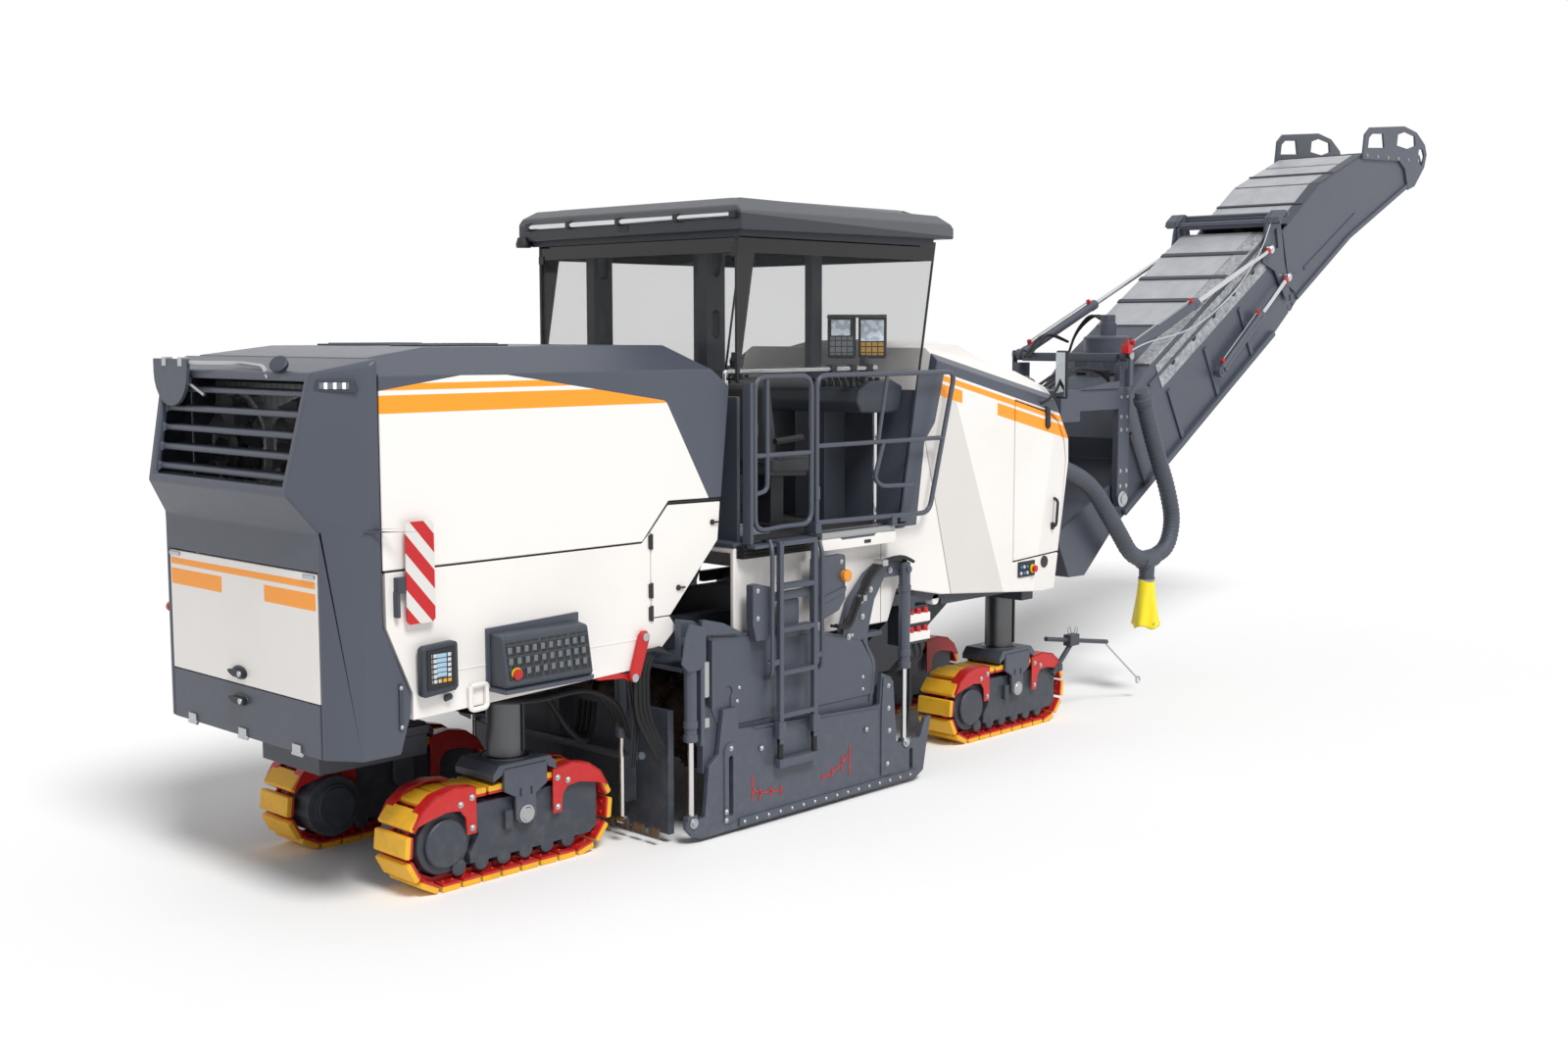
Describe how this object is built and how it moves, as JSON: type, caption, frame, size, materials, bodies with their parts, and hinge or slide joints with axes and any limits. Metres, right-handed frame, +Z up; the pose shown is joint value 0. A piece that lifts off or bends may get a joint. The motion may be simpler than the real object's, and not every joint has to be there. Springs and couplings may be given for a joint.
{
  "type": "cold planer milling machine",
  "caption": "Crawler road milling machine with a milling drum between its tracks, a glazed canopy over the platform and a folding, slewing discharge conveyor.",
  "frame": {"origin": "on the ground under the middle of the bounding box", "axes": "+X forward, towards the discharge conveyor's head; +Y to the machine's left; +Z up"},
  "size_m": [15.168, 2.56, 5.735],
  "materials": {
    "grey_paint": "satin blue-grey enamel",
    "dark_paint": "satin dark blue-grey enamel",
    "white_paint": "semi-gloss warm white enamel",
    "column_steel": "ground grey steel",
    "chrome_rod": "polished chrome",
    "pad_polyurethane": "matt yellow polyurethane pads on red steel plates",
    "drum_steel": "bare worn steel",
    "engine_casting": "matt casting",
    "cooler_alloy": "matt alloy core",
    "glazing": "clear safety glass",
    "seat_fabric": "black seat fabric",
    "hose_rubber": "grey ribbed hose",
    "sleeve_cloth": "bright yellow coated cloth",
    "console_plastic": "textured dark plastic"
  },
  "bodies": {
    "chassis": {"chassis_frame": "dark_paint", "engine_block": "engine_casting", "drum_housing": "grey_paint", "tail_housing": "grey_paint", "cooler_pack": "cooler_alloy", "right_lower_panel": "white_paint", "left_lower_panel": "white_paint", "control_console": "console_plastic", "platform_tub": "grey_paint", "platform_console": "console_plastic", "seat_pair": "seat_fabric", "right_guard_rail": "grey_paint", "left_guard_rail": "grey_paint", "right_ladder": "grey_paint", "left_ladder": "grey_paint", "front_body": "white_paint", "primary_conveyor": "dark_paint", "nose_console": "dark_paint"},
    "rear_right_track": {"rear_right_track_loop": "pad_polyurethane", "rear_right_track_frame": "dark_paint", "rear_right_column_fork": "column_steel"},
    "rear_left_track": {"rear_left_track_loop": "pad_polyurethane", "rear_left_track_frame": "dark_paint", "rear_left_column_fork": "column_steel"},
    "front_right_track": {"front_right_track_loop": "pad_polyurethane", "front_right_track_frame": "dark_paint", "front_right_column_fork": "column_steel"},
    "front_left_track": {"front_left_track_loop": "pad_polyurethane", "front_left_track_frame": "dark_paint", "front_left_column_fork": "column_steel"},
    "drum": {"milling_drum": "drum_steel"},
    "right_side_plate": {"right_side_plate": "grey_paint"},
    "left_side_plate": {"left_side_plate": "grey_paint"},
    "scraper": {"rear_scraper": "dark_paint"},
    "tail_door": {"tail_door": "white_paint"},
    "tail_flap": {"tail_flap": "grey_paint"},
    "hood": {"hood": "white_paint"},
    "right_engine_door": {"right_engine_door": "white_paint"},
    "left_engine_door": {"left_engine_door": "white_paint"},
    "right_front_door": {"right_front_door": "white_paint"},
    "left_front_door": {"left_front_door": "white_paint"},
    "right_gate": {"right_gate": "grey_paint"},
    "left_gate": {"left_gate": "grey_paint"},
    "canopy": {"canopy_roof": "grey_paint", "canopy_masts": "dark_paint", "canopy_glass": "glazing"},
    "slewing_frame": {"slewing_frame": "grey_paint", "dust_hose": "hose_rubber", "dust_sleeve": "sleeve_cloth"},
    "lower_conveyor": {"lower_conveyor": "grey_paint"},
    "upper_conveyor": {"upper_conveyor": "grey_paint"},
    "right_lift_barrel": {"right_lift_barrel": "grey_paint"},
    "right_lift_rod": {"right_lift_rod": "chrome_rod"},
    "right_fold_barrel": {"right_fold_barrel": "grey_paint"},
    "right_fold_rod": {"right_fold_rod": "chrome_rod"},
    "left_lift_barrel": {"left_lift_barrel": "grey_paint"},
    "left_lift_rod": {"left_lift_rod": "chrome_rod"},
    "left_fold_barrel": {"left_fold_barrel": "grey_paint"},
    "left_fold_rod": {"left_fold_rod": "chrome_rod"}
  },
  "joints": [
    {"name": "rear_right_steer", "type": "hinge", "parent": "chassis", "child": "rear_right_track", "pos_m": [-5.997, -0.669, 0.38], "axis": [0, 0, 1], "range_deg": [-25, 25]},
    {"name": "rear_left_steer", "type": "hinge", "parent": "chassis", "child": "rear_left_track", "pos_m": [-5.997, 0.669, 0.38], "axis": [0, 0, 1], "range_deg": [-25, 25]},
    {"name": "front_right_steer", "type": "hinge", "parent": "chassis", "child": "front_right_track", "pos_m": [-0.674, -0.581, 0.38], "axis": [0, 0, 1], "range_deg": [-25, 25]},
    {"name": "front_left_steer", "type": "hinge", "parent": "chassis", "child": "front_left_track", "pos_m": [-0.674, 0.581, 0.38], "axis": [0, 0, 1], "range_deg": [-25, 25]},
    {"name": "drum_spin", "type": "hinge", "parent": "chassis", "child": "drum", "pos_m": [-3.874, 0, 0.6], "axis": [0, 1, 0], "continuous": true},
    {"name": "right_side_plate_lift", "type": "slide", "parent": "chassis", "child": "right_side_plate", "axis": [0, 0, 1], "range_m": [0, 0.25]},
    {"name": "left_side_plate_lift", "type": "slide", "parent": "chassis", "child": "left_side_plate", "axis": [0, 0, 1], "range_m": [0, 0.25]},
    {"name": "scraper_lift", "type": "slide", "parent": "chassis", "child": "scraper", "axis": [0, 0, 1], "range_m": [0, 0.25]},
    {"name": "tail_door_lift", "type": "hinge", "parent": "chassis", "child": "tail_door", "pos_m": [-7.434, 0, 2.04], "axis": [0, 1, 0], "range_deg": [0, 85]},
    {"name": "tail_flap_drop", "type": "hinge", "parent": "chassis", "child": "tail_flap", "pos_m": [-7.434, 0, 0.975], "axis": [0, -1, 0], "range_deg": [0, 90]},
    {"name": "hood_tilt", "type": "hinge", "parent": "chassis", "child": "hood", "pos_m": [-7.143, 0, 3.25], "axis": [0, -1, 0], "range_deg": [0, 50]},
    {"name": "right_engine_door_swing", "type": "hinge", "parent": "chassis", "child": "right_engine_door", "pos_m": [-5.112, -1.08, 1.9], "axis": [0, 0, -1], "range_deg": [0, 110]},
    {"name": "left_engine_door_swing", "type": "hinge", "parent": "chassis", "child": "left_engine_door", "pos_m": [-5.112, 1.08, 1.9], "axis": [0, 0, 1], "range_deg": [0, 110]},
    {"name": "right_front_door_swing", "type": "hinge", "parent": "chassis", "child": "right_front_door", "pos_m": [-1.164, -1.08, 2.2], "axis": [0, 0, -1], "range_deg": [0, 110]},
    {"name": "left_front_door_swing", "type": "hinge", "parent": "chassis", "child": "left_front_door", "pos_m": [-1.164, 1.08, 2.2], "axis": [0, 0, 1], "range_deg": [0, 110]},
    {"name": "right_gate_swing", "type": "hinge", "parent": "chassis", "child": "right_gate", "pos_m": [-4.254, -1.18, 2.6], "axis": [0, 0, -1], "range_deg": [0, 90]},
    {"name": "left_gate_swing", "type": "hinge", "parent": "chassis", "child": "left_gate", "pos_m": [-4.254, 1.18, 2.6], "axis": [0, 0, 1], "range_deg": [0, 90]},
    {"name": "canopy_lower", "type": "slide", "parent": "chassis", "child": "canopy", "axis": [0, 0, -1], "range_m": [0, 0.5]},
    {"name": "conveyor_slew", "type": "hinge", "parent": "chassis", "child": "slewing_frame", "pos_m": [0.316, 0, 2.5], "axis": [0, 0, 1], "range_deg": [-60, 60], "deforming": ["dust_hose"]},
    {"name": "conveyor_lift", "type": "hinge", "parent": "slewing_frame", "child": "lower_conveyor", "pos_m": [1.166, 0, 1.86], "axis": [0, -1, 0], "range_deg": [-12, 4]},
    {"name": "conveyor_fold", "type": "hinge", "parent": "lower_conveyor", "child": "upper_conveyor", "pos_m": [4.436, 0, 3.67], "axis": [0, 1, 0], "range_deg": [0, 100]},
    {"name": "right_lift_barrel_pivot", "type": "hinge", "parent": "slewing_frame", "child": "right_lift_barrel", "pos_m": [1.186, -0.584, 3.18], "axis": [0, -1, 0], "range_deg": [-14, 5]},
    {"name": "right_lift_rod_slide", "type": "slide", "parent": "right_lift_barrel", "child": "right_lift_rod", "axis": [0.9299, 0, 0.3678], "range_m": [-0.095, 0.275]},
    {"name": "right_fold_barrel_pivot", "type": "hinge", "parent": "lower_conveyor", "child": "right_fold_barrel", "pos_m": [2.913, -0.584, 3.003], "axis": [0, 1, 0], "range_deg": [0, 12]},
    {"name": "right_fold_rod_slide", "type": "slide", "parent": "right_fold_barrel", "child": "right_fold_rod", "axis": [0.8096, 0, 0.587], "range_m": [0, 0.475]},
    {"name": "left_lift_barrel_pivot", "type": "hinge", "parent": "slewing_frame", "child": "left_lift_barrel", "pos_m": [1.186, 0.584, 3.18], "axis": [0, -1, 0], "range_deg": [-14, 5]},
    {"name": "left_lift_rod_slide", "type": "slide", "parent": "left_lift_barrel", "child": "left_lift_rod", "axis": [0.9299, 0, 0.3678], "range_m": [-0.095, 0.275]},
    {"name": "left_fold_barrel_pivot", "type": "hinge", "parent": "lower_conveyor", "child": "left_fold_barrel", "pos_m": [2.913, 0.584, 3.003], "axis": [0, 1, 0], "range_deg": [0, 12]},
    {"name": "left_fold_rod_slide", "type": "slide", "parent": "left_fold_barrel", "child": "left_fold_rod", "axis": [0.8096, 0, 0.587], "range_m": [0, 0.475]}
  ],
  "couplings": [
    {"joint": "right_lift_barrel_pivot", "follows": "conveyor_lift", "ratio": 1.135},
    {"joint": "right_lift_rod_slide", "follows": "conveyor_lift", "m_per_rad": -1.2565},
    {"joint": "right_fold_barrel_pivot", "follows": "conveyor_fold", "ratio": 0.1013},
    {"joint": "right_fold_rod_slide", "follows": "conveyor_fold", "m_per_rad": 0.2685},
    {"joint": "left_lift_barrel_pivot", "follows": "conveyor_lift", "ratio": 1.135},
    {"joint": "left_lift_rod_slide", "follows": "conveyor_lift", "m_per_rad": -1.2565},
    {"joint": "left_fold_barrel_pivot", "follows": "conveyor_fold", "ratio": 0.1013},
    {"joint": "left_fold_rod_slide", "follows": "conveyor_fold", "m_per_rad": 0.2685}
  ]
}
